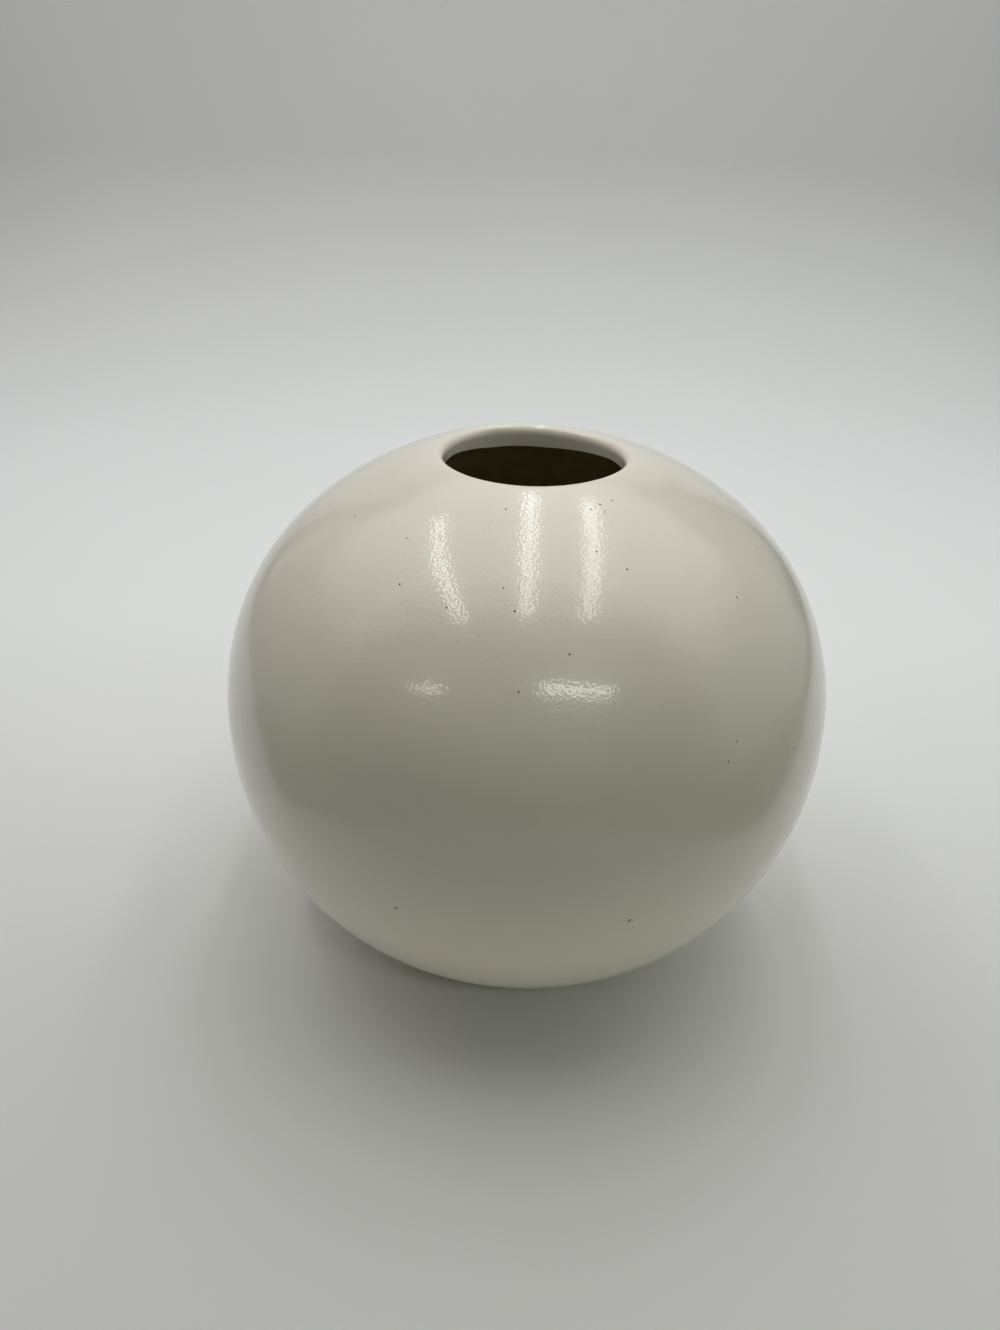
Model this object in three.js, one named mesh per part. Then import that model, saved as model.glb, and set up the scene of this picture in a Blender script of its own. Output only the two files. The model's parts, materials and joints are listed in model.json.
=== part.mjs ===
// A round ceramic vase: a slip-cast stoneware ball with a small mouth, a satin glaze outside
// and a clear liner glaze inside. Millimetres, +Z up. It stands on z = 0, with its axis on the origin.
import * as THREE from "three";

// The ball, measured over the outer glaze. The last three are shares of its radius.
const BELLY_DIAMETER = 200;
const FLATTENING = 0.163; // squashes the top and the underside
const TOP_HEAVINESS = 0.062; // squashes the top and fills out the underside
const NECK_RISE = 0.129; // draws the shoulder up again, close to the mouth
const NECK_POWER = 6; // how late that rise sets in

// The mouth, measured over the outer glaze.
const MOUTH_DIAMETER = 53;
const LIP_ROUND = 2.6;

// The layers of the wall, from outside to inside.
const OUTER_GLAZE = 0.5;
const CLAY_WALL = 5;
const LINER_GLAZE = 0.4;
const LAYER_GAP = 0.05; // left open between two layers, so that their facets never cross

// The foot and the floor above it.
const FOOT_DIAMETER = 76;
const FOOT_RING_WIDTH = 7;
const FOOT_RECESS = 2.5;
const RECESS_DRAFT = 2; // how far the side of the recess leans inwards, to leave the mould
const BARE_FOOT_HEIGHT = 2; // clay wiped clean of glaze, so that it doesn't stick in the kiln
const FLOOR_THICKNESS = 6;
const FLOOR_CORNER = 1.5; // softness of the corner where the floor meets the wall

// How finely the curves are cut up.
const ROUND_STEPS = 48;
const SIDE_STEPS = 17;
const LIP_STEPS = 4;
const CAVITY_STEPS = 20;

const CLAY_OUTSIDE = OUTER_GLAZE + LAYER_GAP;
const CLAY_INSIDE = CLAY_OUTSIDE + CLAY_WALL;
const LINER_OUTSIDE = CLAY_INSIDE + LAYER_GAP;
const LINER_INSIDE = LINER_OUTSIDE + LINER_GLAZE;
const BELLY = 0;
const TOP = Math.PI / 2;
const BOTTOM = -Math.PI / 2;
const { lerp } = THREE.MathUtils;

// The ball's outline at a latitude: x is the radius there, y the height over the belly line.
function outline(latitude) {
  const sine = Math.sin(latitude);
  const rise = NECK_RISE * Math.max(sine, 0) ** NECK_POWER;
  const reach = 1 - FLATTENING * sine ** 4 - TOP_HEAVINESS * sine ** 3 + rise;
  return new THREE.Vector2(Math.cos(latitude), sine).multiplyScalar((reach * BELLY_DIAMETER) / 2);
}

// The same outline, moved square to itself into the wall by a depth.
function inset(latitude, depth) {
  const along = outline(latitude + 0.001).sub(outline(latitude - 0.001)).normalize();
  return outline(latitude).add(new THREE.Vector2(-along.y, along.x).multiplyScalar(depth));
}

// The latitude at which a measure, above zero at the first limit and below at the second, is zero.
function latitudeWhere(measure, first, second) {
  let above = first;
  let below = second;
  for (let halving = 0; halving < 50; halving += 1) {
    const middle = (above + below) / 2;
    if (measure(middle) > 0) above = middle;
    else below = middle;
  }
  return above;
}

// Where the foot, the lower edge of the glaze, the lip and the throat lie on the outline.
const footLatitude = latitudeWhere(
  (latitude) => inset(latitude, CLAY_OUTSIDE).x - FOOT_DIAMETER / 2,
  BELLY,
  BOTTOM,
);
const footHeight = inset(footLatitude, CLAY_OUTSIDE).y;
const glazeLatitude = latitudeWhere(
  (latitude) => inset(latitude, CLAY_OUTSIDE).y - footHeight - BARE_FOOT_HEIGHT,
  BELLY,
  BOTTOM,
);
const lipLatitude = latitudeWhere(
  (latitude) => inset(latitude, LIP_ROUND).x - MOUTH_DIAMETER / 2 - LIP_ROUND,
  BELLY,
  TOP,
);
const throatLatitude = latitudeWhere(
  (latitude) => inset(latitude, CLAY_INSIDE).x - MOUTH_DIAMETER / 2 - CLAY_OUTSIDE,
  BELLY,
  TOP,
);

// One face of the glaze or the clay: up the side from the glaze's lower edge, round the lip and
// down the throat. All depths share the lip's centre, so the layers stay parallel.
function outerFace(depth) {
  const points = [];
  for (let step = 0; step <= SIDE_STEPS; step += 1) {
    points.push(inset(lerp(glazeLatitude, lipLatitude, step / SIDE_STEPS), depth));
  }
  const lipCentre = inset(lipLatitude, LIP_ROUND);
  const lipStart = outline(lipLatitude).sub(lipCentre).angle();
  for (let step = 1; step <= LIP_STEPS; step += 1) {
    const turn = lerp(lipStart, Math.PI, step / LIP_STEPS);
    const spoke = new THREE.Vector2(Math.cos(turn), Math.sin(turn));
    points.push(spoke.multiplyScalar(LIP_ROUND - depth).add(lipCentre));
  }
  const throatEnd = inset(throatLatitude, CLAY_INSIDE).y;
  points.push(new THREE.Vector2(MOUTH_DIAMETER / 2 + depth, throatEnd));
  return points;
}

// One face of the hollow: from the throat down the wall, and level along the floor to the axis.
function hollowFace(depth) {
  const floor = footHeight + FOOT_RECESS + FLOOR_THICKNESS + depth - CLAY_INSIDE;
  const points = [];
  for (let step = 0; step < CAVITY_STEPS; step += 1) {
    const point = inset(lerp(throatLatitude, BOTTOM, step / CAVITY_STEPS), depth);
    const above = (point.y - floor) / FLOOR_CORNER;
    point.y = floor + FLOOR_CORNER * Math.log(1 + Math.exp(above));
    points.push(point);
  }
  points.push(new THREE.Vector2(0, floor));
  return points;
}

// Turns a profile about the axis and stands the piece on z = 0.
function turned(name, profile, finish) {
  const shape = new THREE.LatheGeometry(profile, ROUND_STEPS);
  shape.rotateX(Math.PI / 2);
  shape.translate(0, 0, -footHeight);
  const piece = new THREE.Mesh(shape, new THREE.MeshStandardMaterial(finish));
  piece.name = name;
  return piece;
}

// The clay: out along the recess and the foot ring, up the outside, and down the inside.
const ringInside = FOOT_DIAMETER / 2 - FOOT_RING_WIDTH;
const clayProfile = [
  new THREE.Vector2(0, footHeight + FOOT_RECESS),
  new THREE.Vector2(ringInside - RECESS_DRAFT, footHeight + FOOT_RECESS),
  new THREE.Vector2(ringInside, footHeight),
  new THREE.Vector2(FOOT_DIAMETER / 2, footHeight),
  ...outerFace(CLAY_OUTSIDE),
  ...hollowFace(CLAY_INSIDE).slice(1),
];

// The outer glaze: up its shining face, and back down the face that is fused to the clay.
const shiningFace = outerFace(0);
const outerGlazeProfile = [...shiningFace, ...outerFace(OUTER_GLAZE).reverse(), shiningFace[0]];

// The liner: from the axis up the face on the clay, and back down the wet face.
const linerProfile = [...hollowFace(LINER_OUTSIDE).reverse(), ...hollowFace(LINER_INSIDE)];

const vase = new THREE.Group();
vase.name = "round_ceramic_vase";
vase.add(turned("stoneware_body", clayProfile, { color: "#c9bda9", roughness: 0.9, metalness: 0 }));
vase.add(turned("outer_glaze", outerGlazeProfile, { color: "#dfd9cd", roughness: 0.35, metalness: 0 }));
vase.add(turned("liner_glaze", linerProfile, { color: "#c6b998", roughness: 0.25, metalness: 0 }));

export default vase;
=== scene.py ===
# %% [markdown]
# # A round ceramic vase
# This vase is a hollow stoneware ball with a small mouth. Such a vase is cast from liquid clay in a plaster
# mould, trimmed at the mouth and the foot, swilled with a clear glaze inside and sprayed with an off-white
# satin glaze outside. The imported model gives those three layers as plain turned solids. Here each layer is
# modelled again as a fine mesh in the same place, with the small faults of a hand-finished pot.

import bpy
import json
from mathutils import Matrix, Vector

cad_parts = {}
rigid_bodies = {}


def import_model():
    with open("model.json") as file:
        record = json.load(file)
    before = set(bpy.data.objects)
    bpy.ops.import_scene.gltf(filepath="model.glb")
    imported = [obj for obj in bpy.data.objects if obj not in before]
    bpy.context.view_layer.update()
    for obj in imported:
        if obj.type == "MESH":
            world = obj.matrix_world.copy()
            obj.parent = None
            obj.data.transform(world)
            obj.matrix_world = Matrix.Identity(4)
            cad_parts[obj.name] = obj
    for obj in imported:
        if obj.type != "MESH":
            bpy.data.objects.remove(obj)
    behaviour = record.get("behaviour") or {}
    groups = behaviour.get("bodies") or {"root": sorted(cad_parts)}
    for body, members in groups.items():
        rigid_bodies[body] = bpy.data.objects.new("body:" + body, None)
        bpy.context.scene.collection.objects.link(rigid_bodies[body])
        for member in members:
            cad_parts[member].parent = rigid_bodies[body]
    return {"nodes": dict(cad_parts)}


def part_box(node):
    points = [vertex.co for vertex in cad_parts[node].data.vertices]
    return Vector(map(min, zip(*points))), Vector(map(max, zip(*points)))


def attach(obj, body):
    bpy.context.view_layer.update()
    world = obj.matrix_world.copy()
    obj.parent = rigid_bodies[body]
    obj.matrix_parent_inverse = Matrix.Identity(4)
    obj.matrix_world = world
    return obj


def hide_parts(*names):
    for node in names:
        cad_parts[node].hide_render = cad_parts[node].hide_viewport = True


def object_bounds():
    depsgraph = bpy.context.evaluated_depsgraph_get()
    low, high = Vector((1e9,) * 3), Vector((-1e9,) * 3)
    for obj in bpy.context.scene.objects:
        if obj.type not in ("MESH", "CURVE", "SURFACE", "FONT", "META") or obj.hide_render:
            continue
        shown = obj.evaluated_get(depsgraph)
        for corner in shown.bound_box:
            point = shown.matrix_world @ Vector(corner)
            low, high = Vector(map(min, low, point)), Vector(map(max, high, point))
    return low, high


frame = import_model()
cad_low, cad_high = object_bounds()
print("layers of the packed vase:", sorted(frame["nodes"]))

# %% [markdown]
# ## The outline of the ball
# A round pot is one outline turned about an axis, so the outline is worth getting right before any mesh is
# made. It could be traced as a row of points. A short formula is better: it stays smooth however finely it
# is cut up, and a glossy glaze shows every kink. The radius shrinks towards the top and the underside, and
# grows again a little near the mouth, where the wall was drawn up.

# %% Sizes of the vase, and its outline
import json
import math

import bpy
from mathutils import Vector

MM = 0.001
glaze_low, glaze_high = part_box("outer_glaze")
BELLY_RADIUS = (glaze_high.x - glaze_low.x) / 2
FLATTENING = 0.163
TOP_HEAVINESS = 0.062
NECK_RISE = 0.129
NECK_POWER = 6
HALF_STEP = 0.001
HALVINGS = 50


def outline(latitude):
    """Radius, and height over the belly line, of the glazed ball at a latitude in radians."""
    sine = math.sin(latitude)
    rise = NECK_RISE * max(sine, 0) ** NECK_POWER
    reach = BELLY_RADIUS * (1 - FLATTENING * sine**4 - TOP_HEAVINESS * sine**3 + rise)
    return Vector((reach * math.cos(latitude), reach * sine))


def inset(latitude, depth):
    """The outline moved square to itself into the wall."""
    along = (outline(latitude + HALF_STEP) - outline(latitude - HALF_STEP)).normalized()
    return outline(latitude) + depth * Vector((-along.y, along.x))


def latitude_where(measure, first, second):
    """The latitude at which a measure, above zero at the first limit and below at the second, is zero."""
    for halving in range(HALVINGS):
        middle = (first + second) / 2
        if measure(middle) > 0:
            first = middle
        else:
            second = middle
    return first


print(f"belly diameter {2 * BELLY_RADIUS / MM:.1f} mm")

# %% [markdown]
# ## Where the layers begin and end
# The outer glaze stops just above the foot, because glaze that touches the kiln shelf sticks to it. At the
# top it goes over the lip and down the throat, where the liner begins. Those places are worked out on
# the outline from a few sizes, so that the three layers fit each other.

# %% Foot, glaze line, lip and throat
MOUTH_RADIUS = 26.5 * MM
LIP_ROUND = 2.6 * MM
OUTER_GLAZE = 0.5 * MM
CLAY_OUTSIDE = 0.55 * MM
CLAY_INSIDE = 5.55 * MM
LINER_OUTSIDE = 5.6 * MM
LINER_GLAZE = 0.4 * MM
FOOT_RADIUS = 38 * MM
BARE_FOOT_HEIGHT = 2 * MM
BELLY, TOP, BOTTOM = 0, math.pi / 2, -math.pi / 2

foot_latitude = latitude_where(lambda a: inset(a, CLAY_OUTSIDE).x - FOOT_RADIUS, BELLY, BOTTOM)
belly_height = -inset(foot_latitude, CLAY_OUTSIDE).y
glaze_latitude = latitude_where(
    lambda a: inset(a, CLAY_OUTSIDE).y + belly_height - BARE_FOOT_HEIGHT, BELLY, BOTTOM
)
lip_latitude = latitude_where(lambda a: inset(a, LIP_ROUND).x - MOUTH_RADIUS - LIP_ROUND, BELLY, TOP)
throat_latitude = latitude_where(
    lambda a: inset(a, CLAY_INSIDE).x - MOUTH_RADIUS - CLAY_OUTSIDE, BELLY, TOP
)
crest_height = belly_height + inset(lip_latitude, LIP_ROUND).y + LIP_ROUND
print(f"belly line {belly_height / MM:.1f} mm up, lip crest {crest_height / MM:.1f} mm up")
print(f"the packed glaze ends {glaze_high.z / MM:.1f} mm up")

# %% [markdown]
# ## Pulling up a wall
# A round wall could be a profile that is spun about the axis. Here it is pulled up ring by ring instead, as
# a potter does: a circle is added, its edge is extruded upwards, and each new ring is scaled to its radius.
# This keeps the vertices in clean rings, and the last ring can go on round the lip and down the throat.

# %% Rings up the outside, and the tools that pull them up
SIDE_STEPS, LIP_STEPS, THROAT_STEPS = 58, 10, 5
GLAZE_CORNERS = 144
END_HOLD = 0.12  # share of a step that the extra ring stays away from the end


def outside_rings(depth, start, side_steps, lip_steps):
    """Radius and height of the rings up the side from a latitude, round the lip and down the throat."""
    rings = []
    for step in range(side_steps + 1):
        rings.append(inset(start + (lip_latitude - start) * step / side_steps, depth))
    lip_centre = inset(lip_latitude, LIP_ROUND)
    lip_start = outline(lip_latitude) - lip_centre
    first_turn = math.atan2(lip_start.y, lip_start.x)
    for step in range(1, lip_steps + 1):
        turn = first_turn + (math.pi - first_turn) * step / lip_steps
        rings.append(lip_centre + (LIP_ROUND - depth) * Vector((math.cos(turn), math.sin(turn))))
    throat_top = rings[-1].y
    throat_end = inset(throat_latitude, CLAY_INSIDE).y
    for step in range(1, THROAT_STEPS + 1):
        height = throat_top + (throat_end - throat_top) * step / THROAT_STEPS
        rings.append(Vector((MOUTH_RADIUS + depth, height)))
    return [(ring.x, ring.y + belly_height) for ring in rings]


def edit_only(piece, kind, indices):
    """Open a piece in edit mode with only the listed vertices or faces selected."""
    bpy.context.view_layer.objects.active = piece
    bpy.ops.object.mode_set(mode="EDIT")
    bpy.ops.mesh.select_mode(type=kind)
    bpy.ops.mesh.select_all(action="DESELECT")
    bpy.ops.object.mode_set(mode="OBJECT")
    parts = piece.data.polygons if kind == "FACE" else piece.data.vertices
    for index in indices:
        parts[index].select = True
    bpy.ops.object.mode_set(mode="EDIT")


def pull_wall(name, rings, corners):
    """Add the first ring as a circle, then extrude and scale it to each of the others."""
    bpy.ops.object.select_all(action="DESELECT")
    radius, height = rings[0]
    bpy.ops.mesh.primitive_circle_add(vertices=corners, radius=radius, location=(0, 0, height))
    wall = bpy.context.object
    wall.name = name
    bpy.ops.object.transform_apply()
    edit_only(wall, "VERT", range(corners))
    for next_radius, next_height in rings[1:]:
        lift = {"value": (0, 0, next_height - height)}
        bpy.ops.mesh.extrude_region_move(TRANSFORM_OT_translate=lift)
        scale = next_radius / radius
        bpy.ops.transform.resize(value=(scale, scale, 1), center_override=(0, 0, next_height))
        radius, height = next_radius, next_height
    bpy.ops.mesh.select_all(action="SELECT")
    bpy.ops.mesh.normals_make_consistent(inside=False)
    bpy.ops.object.mode_set(mode="OBJECT")
    return wall


def held_at_ends(rings):
    """Add a ring close to either end, so that a smoothed wall keeps a firm edge there."""
    first = [b + (a - b) * (1 - END_HOLD) for a, b in zip(rings[0], rings[1])]
    last = [b + (a - b) * (1 - END_HOLD) for a, b in zip(rings[-1], rings[-2])]
    return [rings[0], first, *rings[1:-1], last, rings[-1]]


coat_rings = held_at_ends(outside_rings(0, glaze_latitude, SIDE_STEPS, LIP_STEPS))
coat = pull_wall("outer_glaze_coat", coat_rings, GLAZE_CORNERS)
print("glaze skin:", len(coat.data.polygons), "faces")

# %% [markdown]
# ## A thickness for the coat
# So far the coat is a skin without thickness. A Solidify modifier gives it its half millimetre, measured
# inwards, so that the outside keeps its size. The same short helper applies every modifier from here on.

# %% Thicken the coat


def apply_modifier(piece, kind, **settings):
    """Give a piece a modifier with settings, and apply it to the mesh."""
    modifier = piece.modifiers.new(kind.lower(), kind)
    for setting, value in settings.items():
        setattr(modifier, setting, value)
    bpy.context.view_layer.objects.active = piece
    bpy.ops.object.modifier_apply(modifier=modifier.name)


apply_modifier(coat, "SOLIDIFY", thickness=OUTER_GLAZE, offset=-1, use_even_offset=True)
print("glaze coat:", len(coat.data.polygons), "faces")

# %% [markdown]
# ## The edge of the glaze in the throat
# Inside the mouth the white glaze ends in an uneven edge, because it sagged while it was wet. Parts of that
# edge are selected by their angle round the axis and pulled down. Proportional editing lets the rings above
# follow, less and less with their distance along the skin, and stops short of the top of the lip.

# %% Pull the edge down in places
SAG_REACH = 4.5 * MM
SAG_FIRST, SAG_LAST = (30, 150), (80, 118)  # from and to, in degrees, for the first and the last pull
SAG_STEPS = 8
SAG_FALL = 0.22 * MM
SAME_PLACE = 0.01 * MM
throat_end = belly_height + inset(throat_latitude, CLAY_INSIDE).y


def throat_edge(piece, first, last):
    """The vertices of the throat's lower edge between two angles in degrees."""
    found = []
    for vertex in piece.data.vertices:
        x, y, z = vertex.co
        in_throat = math.hypot(x, y) < MOUTH_RADIUS + 2 * OUTER_GLAZE
        on_edge = in_throat and abs(z - throat_end) < SAME_PLACE
        if on_edge and first <= math.degrees(math.atan2(y, x)) <= last:
            found.append(vertex.index)
    return found


sagging = []
for step in range(SAG_STEPS):
    share = step / (SAG_STEPS - 1)
    first, last = (a + (b - a) * share for a, b in zip(SAG_FIRST, SAG_LAST))
    sagging.append(throat_edge(coat, first, last))
for edge in sagging:
    edit_only(coat, "VERT", edge)
    bpy.ops.transform.translate(
        value=(0, 0, -SAG_FALL),
        use_proportional_edit=True,
        use_proportional_connected=True,
        proportional_edit_falloff="SMOOTH",
        proportional_size=SAG_REACH,
    )
    bpy.ops.object.mode_set(mode="OBJECT")
lowest = min(coat.data.vertices[index].co.z for edge in sagging for index in edge)
print(f"the edge ends {throat_end / MM:.1f} mm up, and {lowest / MM:.1f} mm up where it sags most")

# %% [markdown]
# ## The clay body
# Under the glaze is the clay wall. Only its foot shows: a ring that the vase stands on, bare of glaze,
# round a shallow recess. It is pulled up like the glaze, from the middle of the recess out over the foot
# ring, up the outside, over the lip and down the inside to the floor. Two rings close to each corner of the
# foot hold it crisp when the mesh is smoothed, as a sponge leaves it. The open middle at each end is closed
# to a point.

# %% Pull up the clay body
RING_INSIDE = 31 * MM
FOOT_RECESS = 2.5 * MM
RECESS_DRAFT = 2 * MM
FLOOR_HEIGHT = 8.5 * MM
FLOOR_CORNER = 1.5 * MM
CLAY_CORNERS = 96
CLAY_SIDE_STEPS, CLAY_LIP_STEPS, HOLLOW_STEPS = 45, 8, 45
MIDDLE_RADIUS = 4 * MM
EDGE_SOFTNESS = 0.7 * MM


def softened(corners, softness):
    """Replace each inner point of a bent line by two points, a little before and a little after it."""
    points = [Vector(corners[0])]
    for before, corner, after in zip(corners, corners[1:], corners[2:]):
        corner = Vector(corner)
        points.append(corner + softness * (Vector(before) - corner).normalized())
        points.append(corner + softness * (Vector(after) - corner).normalized())
    return [tuple(point) for point in points]


def inside_rings(depth, steps):
    """Radius and height of the rings from the throat down the hollow and along its level floor."""
    floor = FLOOR_HEIGHT + depth - CLAY_INSIDE
    rings = []
    for step in range(steps):
        ring = inset(throat_latitude + (BOTTOM - throat_latitude) * step / steps, depth)
        above = (ring.y + belly_height - floor) / FLOOR_CORNER
        rings.append((ring.x, floor + FLOOR_CORNER * math.log1p(math.exp(above))))
    return rings


def close_to_a_point(piece, radius, height):
    """Extrude the open ring at a radius and a height, and merge the new ring in its middle."""
    ring = []
    for vertex in piece.data.vertices:
        away = math.hypot(math.hypot(vertex.co.x, vertex.co.y) - radius, vertex.co.z - height)
        if away < SAME_PLACE:
            ring.append(vertex.index)
    edit_only(piece, "VERT", ring)
    bpy.ops.mesh.extrude_region_move()
    bpy.ops.mesh.merge(type="CENTER")
    bpy.ops.mesh.select_all(action="SELECT")
    bpy.ops.mesh.normals_make_consistent(inside=False)
    bpy.ops.object.mode_set(mode="OBJECT")


clay_side = outside_rings(CLAY_OUTSIDE, glaze_latitude, CLAY_SIDE_STEPS, CLAY_LIP_STEPS)
foot_corners = [
    (MIDDLE_RADIUS, FOOT_RECESS),
    (RING_INSIDE - RECESS_DRAFT, FOOT_RECESS),
    (RING_INSIDE, 0),
    (FOOT_RADIUS, 0),
    clay_side[0],
]
clay_hollow = inside_rings(CLAY_INSIDE, HOLLOW_STEPS)[1:]
clay_rings = softened(foot_corners, EDGE_SOFTNESS) + clay_side + clay_hollow
body = pull_wall("stoneware_wall", clay_rings, CLAY_CORNERS)
close_to_a_point(body, *clay_rings[0])
close_to_a_point(body, *clay_rings[-1])
print("clay body:", len(body.data.polygons), "faces")

# %% [markdown]
# ## The liner
# The lining is glaze that was poured in, swilled round and poured out again, so that the vase holds
# water. It is pulled from the throat down to the middle of the floor as one thin skin.

# %% Pull the liner down
LINER_CORNERS = 96
liner_rings = inside_rings(LINER_OUTSIDE, HOLLOW_STEPS)
liner = pull_wall("liner_glaze_coat", liner_rings, LINER_CORNERS)
close_to_a_point(liner, *liner_rings[-1])
apply_modifier(liner, "SOLIDIFY", thickness=LINER_GLAZE, offset=-1, use_even_offset=True)
print("liner:", len(liner.data.polygons), "faces")

# %% [markdown]
# ## Out of true
# No cast pot is quite round: it slumps a little as it leaves the mould and as it is fired. Pushing single
# vertices about would make the layers cross. A lattice is better: it is a cage of points round the whole
# vase, and what is inside follows when its points move. All three layers are bent by the same cage, so they
# stay parallel. Each touch has a place, a push and a reach, and fades out smoothly.

# %% Bend the layers with one cage and smooth them
CAGE_POINTS = 40
CAGE_MARGIN = 1.1
# each touch: what it does, then its place, its push and its reach in millimetres
TOUCHES = [
    ("rim sags at the back on the right", (18, 22, 170), (0, 0, -0.9), 15),
    ("rim sags at the back", (4, 27, 170), (0, 0, -0.7), 10),
    ("mouth pulled out on the right", (30, -6, 168), (2.1, 0, 0), 12.7),
    ("mouth pulled out on the left", (-29, -4, 168), (-0.9, 0, 0), 12.7),
    ("fuller right flank", (70, -50, 120), (0.4, -0.3, 0.1), 30),
    ("flatter back", (10, 96, 80), (0, -0.8, 0), 40),
    ("fuller left back", (-70, 60, 60), (-0.6, 0.5, 0), 35),
]
bpy.ops.object.select_all(action="DESELECT")
cage_middle = (cad_low + cad_high) / 2
bpy.ops.object.add(type="LATTICE", location=cage_middle)
cage = bpy.context.object
cage.scale = (cad_high - cad_low) * CAGE_MARGIN
cage.data.points_u = cage.data.points_v = cage.data.points_w = CAGE_POINTS
for point in cage.data.points:
    place = cage_middle + Vector(point.co) * cage.scale
    shift = Vector((0, 0, 0))
    for what, touched, push, reach in TOUCHES:
        away = (place - Vector(touched) * MM).length / (reach * MM)
        shift += Vector(push) * MM * math.exp(-(away**2))
    point.co_deform = Vector(point.co_deform) + Vector(a / b for a, b in zip(shift, cage.scale))
for layer in (coat, body, liner):
    before = {v.index: v.co.copy() for v in layer.data.vertices}
    apply_modifier(layer, "LATTICE", object=cage)
    moved = max((v.co - before[v.index]).length for v in layer.data.vertices)
    apply_modifier(layer, "SUBSURF", levels=1, render_levels=1)
    print(f"{layer.name} is bent by up to {moved / MM:.2f} mm and has {len(layer.data.polygons)} faces")
bpy.data.objects.remove(cage)

# %% [markdown]
# ## The skin of the glaze
# Molten glaze runs and sets with a faint ripple, a few hundredths of a millimetre high and about a
# centimetre long. It is too low to see by itself, but it makes the edges of the reflections waver. A cloud
# texture displaces the skin by that much.

# %% Ripple the glaze
RIPPLE_LENGTH = 9 * MM
RIPPLE_HEIGHT = 0.05 * MM
ripple = bpy.data.textures.new("glaze_ripple", "CLOUDS")
ripple.noise_scale = RIPPLE_LENGTH
apply_modifier(coat, "DISPLACE", texture=ripple, texture_coords="LOCAL", strength=RIPPLE_HEIGHT)
print("rippled", len(coat.data.vertices), "vertices")

# %% [markdown]
# ## Pinholes
# A sprayed glaze is pricked with pinholes, where gas came out of the clay and the glaze never closed again.
# They could be painted, but a hole has a rim that catches the light. So each one is modelled: a ray finds
# its place on the bent skin, the nearest vertex slides there, a vertex bevel opens it, its faces are
# dissolved into one, and two insets with a depth sink that face. The bevel's profile sets how the opening
# curves from edge to edge: half would give a star, and about a twelfth gives a circle. The places are read
# from the photograph, with a few more on the side that it doesn't show.

# %% Sink the pinholes
# longitude and latitude on the ball, in degrees
DARK_PINHOLES = [(-109.7, -7.7), (-71.8, -7.7)]
PALE_PINHOLES = [
    (-65.4, 64.5), (-121, 45.9), (-95.8, 48.6), (-107.7, 44), (-81.7, 38), (-70.3, 55.3), (-100.2, 64.9),
    (-60.5, 63.4), (-91, 32.3), (-60.1, 65.3), (-92.7, 44.8), (-53.4, 65.6), (-153, 52.5), (-37.8, 12.8),
    (-128, 54.1), (-63.8, 51), (-29.7, 9.8), (-52.7, 19.9), (-54.9, 17.3), (-38.6, 40.2), (-15.3, 42.9),
    (-4.8, 49.8), (-5.7, 53.6), (20, 30), (48, -12), (75, 42), (110, 8), (133, 35), (160, -20), (171, 22),
]
DARK_HOLE_WIDTH = 1.0 * MM
PALE_HOLE_WIDTH = 0.65 * MM
HOLE_DEPTH = 0.3 * MM
ROUND_PROFILE = 0.086
ROUND_SEGMENTS = 4
RIM_WIDTH, RIM_DEPTH = 1 / 12, 1 / 4  # shares of the hole's width and depth
SLOPE_WIDTH, SLOPE_DEPTH = 1 / 6, 3 / 4
ball_middle = Vector((0, 0, belly_height))


def sink_hole(piece, longitude, latitude, width):
    """Open a round hole in the outer skin, at a longitude and a latitude in degrees."""
    around, up = math.radians(longitude), math.radians(latitude)
    outwards = Vector((math.cos(up) * math.cos(around), math.cos(up) * math.sin(around), math.sin(up)))
    bpy.context.view_layer.update()
    found, spot, normal, face = piece.ray_cast(ball_middle + 2 * BELLY_RADIUS * outwards, -outwards)
    corners = piece.data.polygons[face].vertices
    nearest = min(corners, key=lambda index: (piece.data.vertices[index].co - spot).length)
    slide = spot - piece.data.vertices[nearest].co
    edit_only(piece, "VERT", [nearest])
    bpy.ops.transform.translate(value=slide)
    bpy.ops.mesh.bevel(
        offset=width / 2,
        segments=ROUND_SEGMENTS,
        profile=ROUND_PROFILE,
        affect="VERTICES",
        clamp_overlap=True,
    )
    bpy.ops.mesh.select_mode(type="FACE")
    bpy.ops.mesh.dissolve_faces()
    bpy.ops.mesh.inset(thickness=width * RIM_WIDTH, depth=-HOLE_DEPTH * RIM_DEPTH)
    bpy.ops.object.material_slot_assign()
    bpy.ops.mesh.inset(thickness=width * SLOPE_WIDTH, depth=-HOLE_DEPTH * SLOPE_DEPTH)
    bpy.ops.object.mode_set(mode="OBJECT")


for finish in ("satin_stoneware_glaze", "pinhole_dark_shade", "pinhole_shade"):
    coat.data.materials.append(bpy.data.materials.new(finish))
SKIN, DARK_SHADE, SHADE = range(3)
coat.active_material_index = DARK_SHADE
# the two dark pinholes get a bottom painted almost black, painted shade
for longitude, latitude in DARK_PINHOLES:
    sink_hole(coat, longitude, latitude, DARK_HOLE_WIDTH)
coat.active_material_index = SHADE
for longitude, latitude in PALE_PINHOLES:
    sink_hole(coat, longitude, latitude, PALE_HOLE_WIDTH)
holes = sum(face.material_index != SKIN for face in coat.data.polygons)
print(len(DARK_PINHOLES) + len(PALE_PINHOLES), "pinholes, with", holes, "faces at their bottoms")

# %% [markdown]
# ## Smooth shading
# The layers are fine enough that shading can hide their facets. Edges that turn by more than a set angle
# stay sharp: the corners of the foot and the rims of the pinholes.

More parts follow.
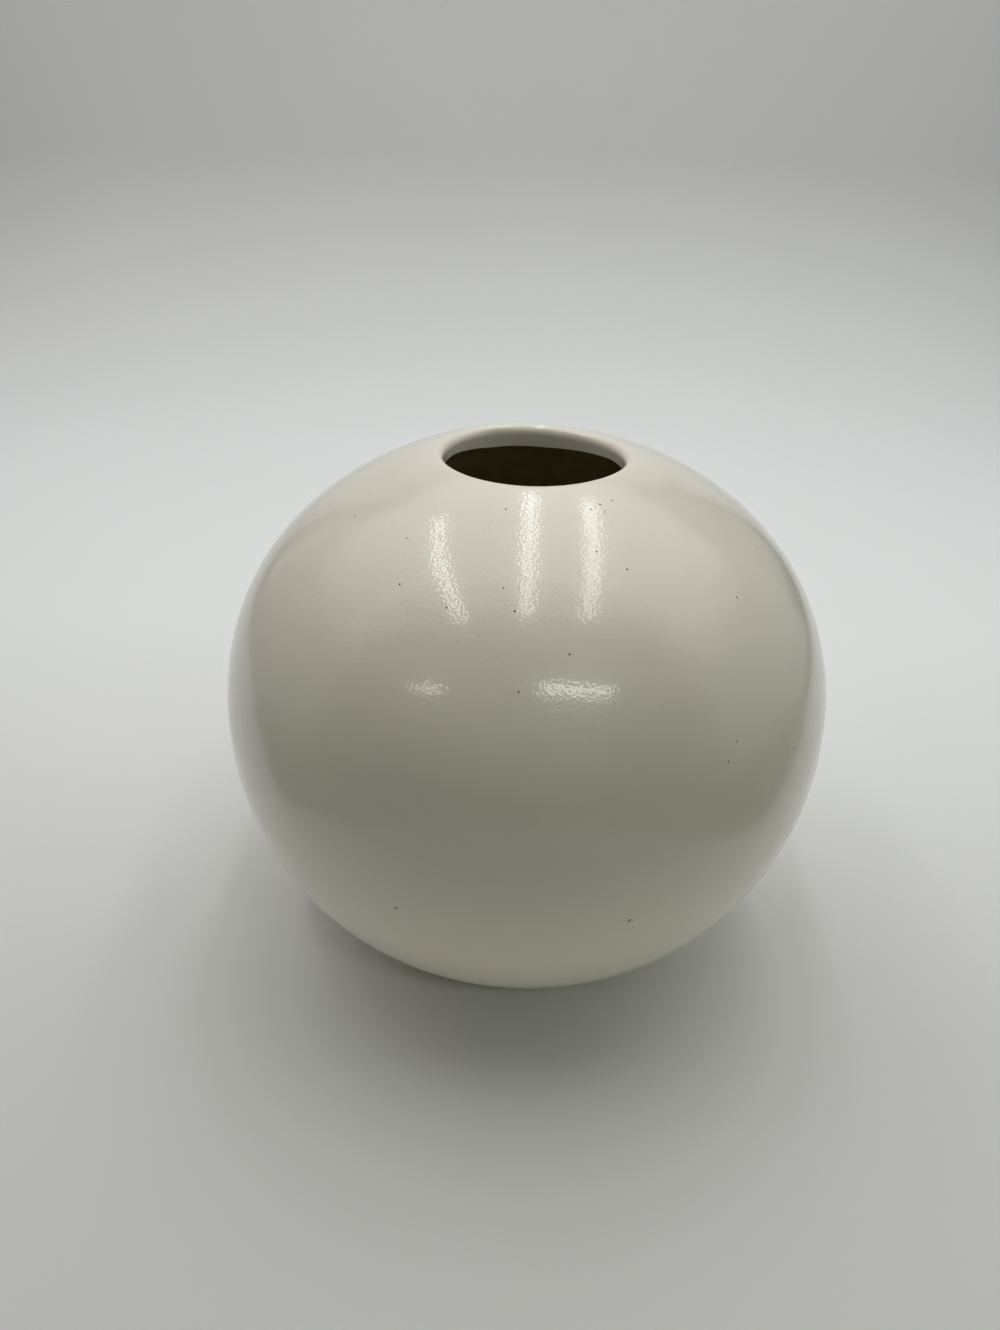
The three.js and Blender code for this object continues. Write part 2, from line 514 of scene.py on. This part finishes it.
# %% Shade the layers smooth
SHARP_EDGE = math.radians(50)
for layer in (coat, body, liner):
    bpy.ops.object.select_all(action="DESELECT")
    layer.select_set(True)
    bpy.context.view_layer.objects.active = layer
    bpy.ops.object.shade_smooth_by_angle(angle=SHARP_EDGE)
    layer.data.calc_loop_triangles()
    print(layer.name, "has", len(layer.data.loop_triangles), "triangles")

# %% [markdown]
# ## Tools for the finishes
# Every finish is a small tree of shader nodes. Two helpers keep the trees short: one turns a colour as it
# is picked on a screen into the linear values that the renderer counts in, and one adds a node, sets it up
# and links it.

# %% Colour and node helpers


def linear(hex_colour):
    """Turn an sRGB hex colour into linear red, green, blue and alpha."""
    channels = [int(hex_colour[place:place + 2], 16) / 255 for place in (1, 3, 5)]
    return [c / 12.92 if c <= 0.04045 else ((c + 0.055) / 1.055) ** 2.4 for c in channels] + [1]


def add(tree, kind, sockets, **settings):
    """Add a node, set its properties, and fill or link its input sockets."""
    made = tree.nodes.new(kind)
    for setting, value in settings.items():
        setattr(made, setting, value)
    for socket, value in sockets.items():
        if isinstance(value, bpy.types.NodeSocket):
            tree.links.new(value, made.inputs[socket])
        else:
            made.inputs[socket].default_value = value
    return made


def blank_tree(material):
    """Empty a material's node tree, and return it with its output node."""
    material.use_nodes = True
    material.node_tree.nodes.clear()
    return material.node_tree, material.node_tree.nodes.new("ShaderNodeOutputMaterial")


print(f"a screen grey of #808080 is {linear('#808080')[0]:.3f} in linear light")

# %% [markdown]
# ## Satin stoneware glaze
# The outer glaze is white, with a little iron from the clay showing through. Over the lip it is painted a
# paler pink: partly the pink of the thin glaze there, partly a painted highlight on the crest. Low on the
# belly it is painted whiter, painted light that brightens the lower belly. It was sprayed, so its skin has
# an orange peel of a millimetre or two and a finer grain, which fray the edges of the reflections.
# To the eye it is warm and milky, with streaks that are clear in the middle and hazy round about. One rough
# layer would blur the streaks, and one smooth layer would show no haze. So a satin base, whose colour and
# roughness drift by a few steps, lies under a clearer coat.

# %% Satin glaze
DRIFT_SIZE = 38 * MM
PEEL_SIZE = 1.8 * MM
PEEL_HEIGHT = 0.018 * MM
GRAIN_SIZE = 0.9 * MM  # about three pixels of the picture, because a finer grain would not show
GRAIN_HEIGHT = 0.02 * MM
SPECK_SPACING = 7 * MM
SPECK_RADIUS = 0.035  # share of the spacing
SPECK_STRENGTH = 0.35
LIP_PAINT_BAND = 4.5 * MM
LIP_PAINT_STRENGTH = 0.5
DRIFT_LOW, DRIFT_HIGH = 0.3, 0.7
SATIN_SMOOTH, SATIN_ROUGH = 0.28, 0.36
LOW_GLOW_TOP, LOW_GLOW_FULL = 95 * MM, 50 * MM

glaze = bpy.data.materials["satin_stoneware_glaze"]
tree, output = blank_tree(glaze)
place = add(tree, "ShaderNodeTexCoord", {}).outputs["Object"]
drift = add(tree, "ShaderNodeTexNoise", {"Vector": place, "Scale": 1 / DRIFT_SIZE, "Detail": 3})
cream = add(
    tree,
    "ShaderNodeMix",
    {"Factor": drift.outputs["Fac"], "A": linear("#dad5c8"), "B": linear("#e4dfd2")},
    data_type="RGBA",
)
height = add(tree, "ShaderNodeSeparateXYZ", {"Vector": place}).outputs["Z"]
# over the top of the lip the cream turns paler and pinker: partly thin glaze, partly a painted highlight on
# the crest
lip_tint_and_highlight = add(
    tree,
    "ShaderNodeMapRange",
    {
        "Value": height,
        "From Min": crest_height - LIP_PAINT_BAND,
        "From Max": crest_height,
        "To Max": LIP_PAINT_STRENGTH,
    },
)
lip_tinted_and_highlighted = add(
    tree,
    "ShaderNodeMix",
    {"Factor": lip_tint_and_highlight.outputs["Result"], "A": cream.outputs["Result"], "B": linear("#efe7dd")},
    data_type="RGBA",
)
# painted light: the glaze is made whiter low on the belly, which brightens the lower belly
thickness = add(
    tree,
    "ShaderNodeMapRange",
    {"Value": height, "From Min": LOW_GLOW_TOP, "From Max": LOW_GLOW_FULL},
)
low_glow_whitened = add(
    tree,
    "ShaderNodeMix",
    {"Factor": thickness.outputs["Result"], "A": lip_tinted_and_highlighted.outputs["Result"], "B": linear("#f9f2df")},
    data_type="RGBA",
)
cell = add(tree, "ShaderNodeTexVoronoi", {"Vector": place, "Scale": 1 / SPECK_SPACING})
near = add(
    tree,
    "ShaderNodeMapRange",
    {
        "Value": cell.outputs["Distance"],
        "From Min": 0,
        "From Max": SPECK_RADIUS,
        "To Min": SPECK_STRENGTH,
        "To Max": 0,
    },
)
specked = add(
    tree,
    "ShaderNodeMix",
    {"Factor": near.outputs["Result"], "A": low_glow_whitened.outputs["Result"], "B": linear("#8a7a66")},
    data_type="RGBA",
)
peel = add(tree, "ShaderNodeTexNoise", {"Vector": place, "Scale": 1 / PEEL_SIZE, "Detail": 1})
grain = add(tree, "ShaderNodeTexVoronoi", {"Vector": place, "Scale": 1 / GRAIN_SIZE})
peel_bump = add(tree, "ShaderNodeBump", {"Height": peel.outputs["Fac"], "Distance": PEEL_HEIGHT})
skin_bump = add(
    tree,
    "ShaderNodeBump",
    {"Height": grain.outputs["Distance"], "Distance": GRAIN_HEIGHT, "Normal": peel_bump.outputs["Normal"]},
)
sheen_drift = add(
    tree,
    "ShaderNodeMapRange",
    {
        "Value": drift.outputs["Fac"],
        "From Min": DRIFT_LOW,
        "From Max": DRIFT_HIGH,
        "To Min": SATIN_SMOOTH,
        "To Max": SATIN_ROUGH,
    },
)
surface = add(
    tree,
    "ShaderNodeBsdfPrincipled",
    {
        "Base Color": specked.outputs["Result"],
        "Roughness": sheen_drift.outputs["Result"],
        "IOR": 1.5,
        "Normal": skin_bump.outputs["Normal"],
        "Coat Weight": 0.8,
        "Coat Roughness": 0.09,
        "Coat Normal": skin_bump.outputs["Normal"],
    },
)
tree.links.new(surface.outputs["BSDF"], output.inputs["Surface"])
print(glaze.name, "has", len(tree.nodes), "nodes")

# %% [markdown]
# ## The bottom of a pinhole
# A pinhole shows what is under the glaze, which is matt and a little mottled. Its bottom is painted in
# shade: most show clay in painted shade, and two are painted almost black.

# %% Pinhole finishes
# both finishes paint shade into the bottoms of the holes
for name, colour in (("pinhole_dark_shade", "#17130f"), ("pinhole_shade", "#8f8678")):
    tree, output = blank_tree(bpy.data.materials[name])
    place = add(tree, "ShaderNodeTexCoord", {}).outputs["Object"]
    grit = add(tree, "ShaderNodeTexNoise", {"Vector": place, "Scale": 1 / GRAIN_SIZE})
    shade = add(
        tree,
        "ShaderNodeMix",
        {"Factor": grit.outputs["Fac"], "A": linear(colour), "B": linear("#3a332b")},
        data_type="RGBA",
    )
    surface = add(
        tree,
        "ShaderNodeBsdfPrincipled",
        {"Base Color": shade.outputs["Result"], "Roughness": 0.8},
    )
    tree.links.new(surface.outputs["BSDF"], output.inputs["Surface"])
    print(name, "has", len(tree.nodes), "nodes")

# %% [markdown]
# ## Clear liner glaze
# The liner is a clear, glossy glaze, and the buff clay shows through it. It looks almost black from
# outside, because little light gets in through the mouth. It ran down the wall while it was wet, so its
# colour breaks into long, slightly darker streaks.

# %% Liner glaze
RUN_WIDTH = 6 * MM
RUN_STRETCH = 0.15
RUN_HEIGHT = 0.1 * MM
RUN_THICK, RUN_THIN = 0.45, 0.75
liner_glaze = bpy.data.materials.new("clear_liner_glaze")
liner.data.materials.append(liner_glaze)
tree, output = blank_tree(liner_glaze)
place = add(tree, "ShaderNodeTexCoord", {}).outputs["Object"]
stretched = add(tree, "ShaderNodeMapping", {"Vector": place, "Scale": (1, 1, RUN_STRETCH)})
runs = add(
    tree,
    "ShaderNodeTexNoise",
    {"Vector": stretched.outputs["Vector"], "Scale": 1 / RUN_WIDTH, "Detail": 4, "Distortion": 0.6},
)
broken = add(
    tree,
    "ShaderNodeMapRange",
    {"Value": runs.outputs["Fac"], "From Min": RUN_THICK, "From Max": RUN_THIN},
)
streaked = add(
    tree,
    "ShaderNodeMix",
    {"Factor": broken.outputs["Result"], "A": linear("#beb08f"), "B": linear("#cfc3a7")},
    data_type="RGBA",
)
run_bump = add(tree, "ShaderNodeBump", {"Height": runs.outputs["Fac"], "Distance": RUN_HEIGHT})
surface = add(
    tree,
    "ShaderNodeBsdfPrincipled",
    {
        "Base Color": streaked.outputs["Result"],
        "Roughness": 0.2,
        "IOR": 1.55,
        "Normal": run_bump.outputs["Normal"],
    },
)
tree.links.new(surface.outputs["BSDF"], output.inputs["Surface"])
print(liner_glaze.name, "has", len(tree.nodes), "nodes")

# %% [markdown]
# ## Bare stoneware
# The foot is fired clay without glaze: pale buff, matt and a little gritty, with dark iron grains. A wet
# sponge was held to it on a turning wheel, which left fine rings.

# %% Bare clay
GRIT_SIZE = 0.5 * MM
GRIT_HEIGHT = 0.06 * MM
SPONGE_RING = 1.6 * MM
SPONGE_HEIGHT = 0.04 * MM
WAVE_PACE = 20  # radians that a wave texture turns by over each unit of its scale
IRON_SPACING = 2.2 * MM
IRON_CORE, IRON_RIM = 0.04, 0.1  # shares of the spacing
IRON_STRENGTH = 0.7
clay = bpy.data.materials.new("bare_stoneware")
body.data.materials.append(clay)
tree, output = blank_tree(clay)
place = add(tree, "ShaderNodeTexCoord", {}).outputs["Object"]
grit = add(tree, "ShaderNodeTexNoise", {"Vector": place, "Scale": 1 / GRIT_SIZE, "Detail": 4})
buff = add(
    tree,
    "ShaderNodeMix",
    {"Factor": grit.outputs["Fac"], "A": linear("#b8a78f"), "B": linear("#d6cab4")},
    data_type="RGBA",
)
iron = add(tree, "ShaderNodeTexVoronoi", {"Vector": place, "Scale": 1 / IRON_SPACING})
grain_near = add(
    tree,
    "ShaderNodeMapRange",
    {
        "Value": iron.outputs["Distance"],
        "From Min": IRON_CORE,
        "From Max": IRON_RIM,
        "To Min": IRON_STRENGTH,
        "To Max": 0,
    },
)
flecked = add(
    tree,
    "ShaderNodeMix",
    {"Factor": grain_near.outputs["Result"], "A": buff.outputs["Result"], "B": linear("#6a5a47")},
    data_type="RGBA",
)
sponge = add(
    tree,
    "ShaderNodeTexWave",
    {"Vector": place, "Scale": 2 * math.pi / (WAVE_PACE * SPONGE_RING), "Distortion": 1.5, "Detail": 2},
    wave_type="RINGS",
    rings_direction="Z",
)
ring_bump = add(tree, "ShaderNodeBump", {"Height": sponge.outputs["Fac"], "Distance": SPONGE_HEIGHT})
grit_bump = add(
    tree,
    "ShaderNodeBump",
    {"Height": grit.outputs["Fac"], "Distance": GRIT_HEIGHT, "Normal": ring_bump.outputs["Normal"]},
)
surface = add(
    tree,
    "ShaderNodeBsdfPrincipled",
    {"Base Color": flecked.outputs["Result"], "Roughness": 0.88, "Normal": grit_bump.outputs["Normal"]},
)
tree.links.new(surface.outputs["BSDF"], output.inputs["Surface"])
print(clay.name, "has", len(tree.nodes), "nodes")

# %% [markdown]
# ## Tie the layers to the imported model
# Each layer rides on the vase's one body and stands for its imported solid, which is hidden.

# %% Ride and replace
for layer, node, slot in (
    (coat, "outer_glaze", "satin_glaze"),
    (body, "stoneware_body", "stoneware"),
    (liner, "liner_glaze", "liner_glaze"),
):
    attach(layer, "root")
    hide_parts(node)
print("dressed:", coat.name, body.name, liner.name)

# %% [markdown]
# ## The camera
# The photograph was taken from in front and above, about a third of a metre away. The place and the angles
# come from fitting the ball's outline and the lip to the photograph. The picture is 1330 pixels high, and
# the lens length follows from a focal length of 1000 such pixels.

# %% Camera
CAMERA_PLACE = (0, -0.2938, 0.2728)
CAMERA_TILT, CAMERA_ROLL, CAMERA_TURN = 58.77, -0.976, 2.289
SENSOR = 36
FOCAL_PIXELS, LONG_SIDE_PIXELS = 1000, 1330
NEAREST_SEEN = 0.01
bpy.ops.object.camera_add(
    location=CAMERA_PLACE,
    rotation=[math.radians(angle) for angle in (CAMERA_TILT, CAMERA_ROLL, CAMERA_TURN)],
)
camera = bpy.context.object
camera.data.sensor_width = SENSOR
camera.data.lens = SENSOR * FOCAL_PIXELS / LONG_SIDE_PIXELS
camera.data.clip_start = NEAREST_SEEN
bpy.context.scene.camera = camera
print(f"lens {camera.data.lens:.2f} mm")

# %% [markdown]
# ## A white sweep
# A glossy pot shows its surroundings, so it stands on a white sheet that sweeps up behind it without a
# corner. The sheet is as wide as the ball mirrors it in the photograph: its side edges show as a thin line
# near the left and right rim. In front it narrows, and beyond it there are only a grey table and a dim
# room, which is why the front of the ball is its darkest part. A plane's back edge is spun up a quarter
# turn and extruded up the wall, and its front edge is extruded twice: first while it narrows, then straight
# on. The places are in metres.

# %% Sweep
SHEET_LEFT, SHEET_RIGHT = -0.57, 0.43
SHEET_FRONT, SHEET_BACK = 0.16, 0.5
TONGUE_LEFT, TONGUE_RIGHT = -0.21, 0.19
TONGUE_BACK, TONGUE_FRONT = -0.06, -0.5
BEND_RADIUS, BEND_STEPS = 0.2, 24
WALL_RISE = 0.9
MERGE_DISTANCE = 0.1 * MM


def swept_sheet(name, left, right):
    """Add a sheet between two places across, along the floor, round the bend and up the wall."""
    bpy.ops.object.select_all(action="DESELECT")
    floor_middle = ((left + right) / 2, (SHEET_FRONT + SHEET_BACK) / 2, 0)
    bpy.ops.mesh.primitive_plane_add(size=1, location=floor_middle)
    sheet = bpy.context.object
    sheet.name = name
    sheet.scale = (right - left, SHEET_BACK - SHEET_FRONT, 1)
    bpy.ops.object.transform_apply()
    edit_only(sheet, "VERT", [v.index for v in sheet.data.vertices if v.co.y > SHEET_BACK - MM])
    bend_centre = (0, SHEET_BACK, BEND_RADIUS)
    bpy.ops.mesh.spin(steps=BEND_STEPS, angle=-math.pi / 2, center=bend_centre, axis=(1, 0, 0))
    bpy.ops.mesh.extrude_region_move(TRANSFORM_OT_translate={"value": (0, 0, WALL_RISE)})
    bpy.ops.object.mode_set(mode="OBJECT")
    return sheet


def face_inwards(sheet):
    """Merge a sheet's doubled vertices, turn it to the vase and shade it smooth."""
    edit_only(sheet, "VERT", range(len(sheet.data.vertices)))
    bpy.ops.mesh.remove_doubles(threshold=MERGE_DISTANCE)
    bpy.ops.mesh.normals_make_consistent(inside=True)
    bpy.ops.object.mode_set(mode="OBJECT")
    bpy.ops.object.shade_smooth()


sweep = swept_sheet("white_sweep", SHEET_LEFT, SHEET_RIGHT)
edit_only(sweep, "VERT", [v.index for v in sweep.data.vertices if v.co.y < SHEET_FRONT + MM])
tongue_middle = (TONGUE_LEFT + TONGUE_RIGHT) / 2
narrowing = (TONGUE_RIGHT - TONGUE_LEFT) / (SHEET_RIGHT - SHEET_LEFT)
forwards = (tongue_middle - (SHEET_LEFT + SHEET_RIGHT) / 2, TONGUE_BACK - SHEET_FRONT, 0)
bpy.ops.mesh.extrude_region_move(TRANSFORM_OT_translate={"value": forwards})
bpy.ops.transform.resize(value=(narrowing, 1, 1), center_override=(tongue_middle, 0, 0))
bpy.ops.mesh.extrude_region_move(TRANSFORM_OT_translate={"value": (0, TONGUE_FRONT - TONGUE_BACK, 0)})
bpy.ops.object.mode_set(mode="OBJECT")
face_inwards(sweep)
floor_normal = min(sweep.data.polygons, key=lambda face: face.center.z).normal
print("the floor faces", [round(part, 2) for part in floor_normal])

# %% [markdown]
# ## White sheet
# The sheet is matt white plastic with faint scuffs. Painted shade darkens it towards the front and up
# the wall, where less light falls. Seen from below it is left clear, so that the foot can be looked at.

# %% Sheet finish
SCUFF_SIZE = 160 * MM
SHADE_START_BACK, SHADE_FULL_FRONT = 0.2, -0.25
WALL_SHADE_RISE = 0.2
WALL_SHADE = 0.8
SCUFF_STRENGTH = 0.15


def matt_above(tree, output, colour):
    """Finish a tree with a matt colour on the side that faces the vase, and nothing on the other."""
    matt = add(tree, "ShaderNodeBsdfDiffuse", {"Color": colour})
    clear = add(tree, "ShaderNodeBsdfTransparent", {})
    behind = add(tree, "ShaderNodeNewGeometry", {}).outputs["Backfacing"]
    sided = add(tree, "ShaderNodeMixShader", {0: behind, 1: matt.outputs["BSDF"], 2: clear.outputs["BSDF"]})
    tree.links.new(sided.outputs["Shader"], output.inputs["Surface"])


sheet_finish = bpy.data.materials.new("matt_white_sheet")
tree, output = blank_tree(sheet_finish)
place = add(tree, "ShaderNodeTexCoord", {}).outputs["Object"]
scuffs = add(tree, "ShaderNodeTexNoise", {"Vector": place, "Scale": 1 / SCUFF_SIZE, "Detail": 4})
along = add(tree, "ShaderNodeSeparateXYZ", {"Vector": place})
# painted shade: the colour darkens towards the front and up the wall, where less light falls
front = add(
    tree,
    "ShaderNodeMapRange",
    {"Value": along.outputs["Y"], "From Min": SHADE_START_BACK, "From Max": SHADE_FULL_FRONT},
)
raised = add(
    tree,
    "ShaderNodeMapRange",
    {"Value": along.outputs["Z"], "From Min": 0, "From Max": WALL_SHADE_RISE, "To Max": WALL_SHADE},
)
painted_falloff = add(
    tree,
    "ShaderNodeMath",
    {0: front.outputs["Result"], 1: raised.outputs["Result"]},
    operation="MAXIMUM",
)
uneven = add(
    tree,
    "ShaderNodeMath",
    {0: scuffs.outputs["Fac"], 1: SCUFF_STRENGTH, 2: painted_falloff.outputs[0]},
    operation="MULTIPLY_ADD",
    use_clamp=True,
)
# B is the sheet's colour in painted shade
white = add(
    tree,
    "ShaderNodeMix",
    {"Factor": uneven.outputs[0], "A": linear("#f1f4f6"), "B": linear("#d8d8d8")},
    data_type="RGBA",
)
matt_above(tree, output, white.outputs["Result"])
sweep.data.materials.append(sheet_finish)
print(sheet_finish.name, "has", len(tree.nodes), "nodes")

# %% [markdown]
# ## The table
# The sheet lies on a table. The picture doesn't show it, but the lower half of the ball takes some of its
# light from there, and mirrors it beyond the edges of the sheet. It is a matt grey plane, just below, with
# faint clouds.

# %% Table
TABLE_SIZE = 4
TABLE_DROP = 1 * MM
CLOUD_SIZE = 300 * MM
bpy.ops.object.select_all(action="DESELECT")
bpy.ops.mesh.primitive_plane_add(size=TABLE_SIZE, location=(0, 0, -TABLE_DROP))
bpy.ops.object.transform_apply()
table = bpy.context.object
table.name = "table_top"
table_finish = bpy.data.materials.new("grey_table_top")
tree, output = blank_tree(table_finish)
place = add(tree, "ShaderNodeTexCoord", {}).outputs["Object"]
clouds = add(tree, "ShaderNodeTexNoise", {"Vector": place, "Scale": 1 / CLOUD_SIZE})
grey = add(
    tree,
    "ShaderNodeMix",
    {"Factor": clouds.outputs["Fac"], "A": linear("#8d8d80"), "B": linear("#99988b")},
    data_type="RGBA",
)
matt_above(tree, output, grey.outputs["Result"])
table.data.materials.append(table_finish)
print("table", TABLE_SIZE, "m wide")

# %% [markdown]
# ## Dark gaps beside the sheet
# Between the sheet and the cloth sides of the light box there is a dark gap. The camera doesn't see it, but
# the ball does: it mirrors each gap as a thin dark line just inside its left and right rim. Two strips
# painted almost black, painted shade that sends almost no light back, stand for the gaps. They follow the
# sheet round its bend and up the wall.

# %% Gaps
GAP_WIDTH = 0.06
gap_finish = bpy.data.materials.new("painted_gap_shade")
tree, output = blank_tree(gap_finish)
# painted shade: the gaps are given an almost black colour
gap_shade = add(tree, "ShaderNodeBsdfDiffuse", {"Color": linear("#0c0c0b")})
tree.links.new(gap_shade.outputs["BSDF"], output.inputs["Surface"])
gap_left = swept_sheet("gap_left", SHEET_LEFT - GAP_WIDTH, SHEET_LEFT)
gap_right = swept_sheet("gap_right", SHEET_RIGHT, SHEET_RIGHT + GAP_WIDTH)
for gap in (gap_left, gap_right):
    face_inwards(gap)
    gap.data.materials.append(gap_finish)
print("two gaps,", GAP_WIDTH, "m wide")

# %% [markdown]
# ## Lamps
# The light comes from a light box. Three strip lamps under its white roof run from behind the vase to just
# in front of it, and each draws one of the long bright streaks on the shoulder. The left streak has a bend,
# so its strip is set in two lengths at an angle. Two lamps of the room, further forward, draw the pair of
# flat glints below. The places of them all follow from the angles at which the glaze mirrors them to the
# camera. Broad dim panels stand for the lit cloth of the sides and the back. The roof has three of them,
# each lower and smaller than the last, because the edge of a single bright panel would show as a line on
# the glaze. A faint greenish panel in front stands for the light of the room. No lamp shows itself to the
# camera.

# %% Lamps of the light box and the room
DOWN, FROM_LEFT, FROM_RIGHT = (0, 0, 0), (0, -90, 0), (0, 90, 0)
FROM_BACK, FROM_FRONT = (-90, 0, 0), (67, 0, 0)
STRIP_HEIGHT = 0.75
# each lamp: its name, then its place in metres, turn in degrees, size in metres, watts and colour
LAMPS = [
    ("strip_left_rear", (-0.3, 0.175, STRIP_HEIGHT), (0, 0, 1), (0.034, 0.25), 0.2, "#fffdf8"),
    ("strip_left_front", (-0.266, -0.1, STRIP_HEIGHT), (0, 0, 11.8), (0.034, 0.31), 0.25, "#fffdf8"),
    ("strip_middle", (0.0, 0.06, STRIP_HEIGHT), DOWN, (0.038, 0.59), 0.48, "#fffdf8"),
    ("strip_right", (0.202, 0.075, STRIP_HEIGHT), (0, 0, 2.4), (0.048, 0.59), 0.5, "#fffdf8"),
    ("room_lamp_left", (-0.60, -0.72, STRIP_HEIGHT), DOWN, (0.25, 0.06), 0.4, "#fffcf2"),
    ("room_lamp_right", (0.295, -0.69, STRIP_HEIGHT), DOWN, (0.42, 0.1), 1.1, "#f8fff2"),
    ("room_fill", (0, -1.0, 0.5), FROM_FRONT, (1.5, 0.8), 0.12, "#d4ff98"),
    ("roof_cloth_outer", (0, 0.3, 0.84), DOWN, (2.8, 1.1), 2.9, "#fffefc"),
    ("roof_cloth_inner", (0, 0.3, 0.83), DOWN, (2.0, 0.9), 2.05, "#fffefc"),
    ("roof_cloth_middle", (0, 0.28, 0.82), DOWN, (1.3, 0.7), 1.25, "#fffefc"),
    ("left_cloth", (-0.62, 0.2, 0.4), FROM_LEFT, (0.8, 0.8), 0.45, "#fffaf6"),
    ("right_cloth", (0.62, 0.12, 0.4), FROM_RIGHT, (0.8, 0.8), 0.6, "#fafff8"),
    ("back_cloth", (0, 0.69, 0.36), FROM_BACK, (1.6, 0.6), 0.5, "#fffefc"),
]
total_watts = 0
for name, place, turn, size, watts, colour in LAMPS:
    angles = [math.radians(angle) for angle in turn]
    bpy.ops.object.light_add(type="AREA", location=place, rotation=angles)
    lamp = bpy.context.object
    lamp.name = name
    lamp.data.shape = "RECTANGLE"
    lamp.data.size, lamp.data.size_y = size
    lamp.data.energy = watts
    lamp.data.color = linear(colour)[:3]
    lamp.visible_camera = False
    total_watts += watts
print(f"{len(LAMPS)} lamps, {total_watts:.1f} watts")

# %% [markdown]
# ## The room behind the camera
# Outside the light box it is dim. Rays from the camera and mirrored rays see a paler backdrop there, so
# that pictures from the sides have a light background, and the glaze mirrors the same one.

# %% Dim room
ROOM_GLOW, BACKDROP_GLOW = 0.02, 1
world = bpy.data.worlds.new("dim_room")
bpy.context.scene.world = world
world.use_nodes = True
tree = world.node_tree
tree.nodes.clear()
ray = add(tree, "ShaderNodeLightPath", {})
room = add(tree, "ShaderNodeBackground", {"Color": linear("#8f8f80"), "Strength": ROOM_GLOW})
backdrop = add(tree, "ShaderNodeBackground", {"Color": linear("#6c6c66"), "Strength": BACKDROP_GLOW})
direct = add(
    tree,
    "ShaderNodeMath",
    {0: ray.outputs["Is Camera Ray"], 1: ray.outputs["Is Glossy Ray"]},
    operation="MAXIMUM",
)
sharp = add(
    tree,
    "ShaderNodeMath",
    {0: direct.outputs[0], 1: ray.outputs["Is Transmission Ray"]},
    operation="MAXIMUM",
)
seen = add(
    tree,
    "ShaderNodeMixShader",
    {0: sharp.outputs[0], 1: room.outputs["Background"], 2: backdrop.outputs["Background"]},
)
add(tree, "ShaderNodeOutputWorld", {"Surface": seen.outputs["Shader"]})
bpy.context.scene.view_settings.view_transform = "Standard"
print(world.name, "has", len(tree.nodes), "nodes")
